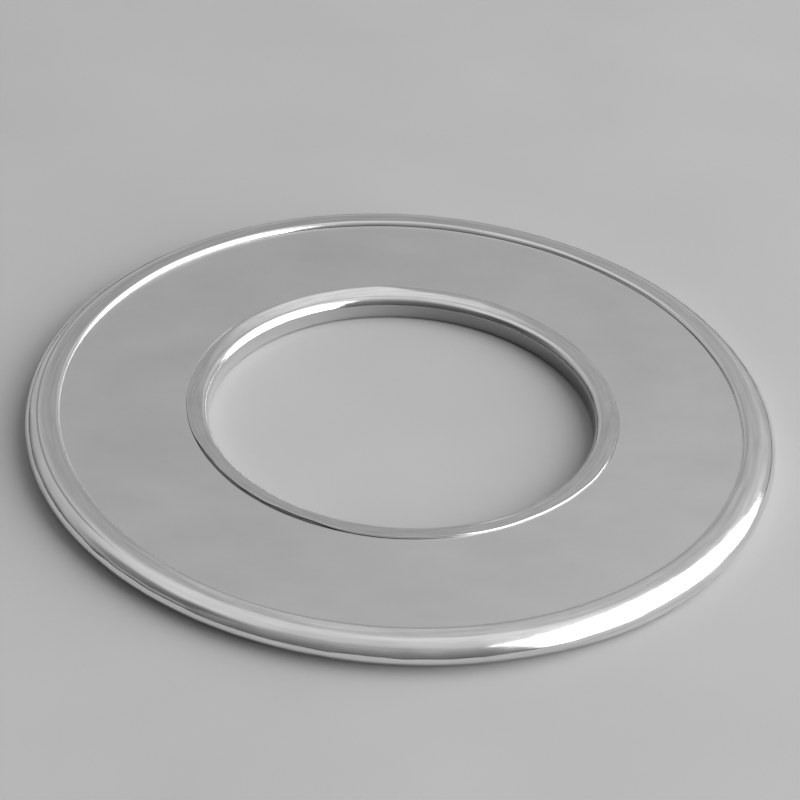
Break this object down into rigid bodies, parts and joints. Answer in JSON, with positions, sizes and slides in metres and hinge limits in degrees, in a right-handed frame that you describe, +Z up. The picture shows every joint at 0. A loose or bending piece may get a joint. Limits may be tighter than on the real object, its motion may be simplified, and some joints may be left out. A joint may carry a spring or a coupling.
{
  "type": "metal flange gasket",
  "caption": "Flat ring seal of folded sheet metal with rounded, folded-over rims at the outside and at the bore, a recessed cover sheet between them and a soft filler sealed inside.",
  "frame": {"origin": "centre of the lower seating face", "axes": "+Z up along the bore's axis, towards the folded-over laps; X and Y in the plane of the ring"},
  "size_m": [0.0952, 0.0952, 0.0037],
  "materials": {
    "polished_sheet": "bright, burnished by rolling, with fine marks along the ring",
    "satin_sheet": "satin mill finish",
    "filler": "matte"
  },
  "bodies": {
    "root": {"jacket_shell": "polished_sheet", "cover_ring": "satin_sheet", "filler_ring": "filler"}
  },
  "joints": []
}
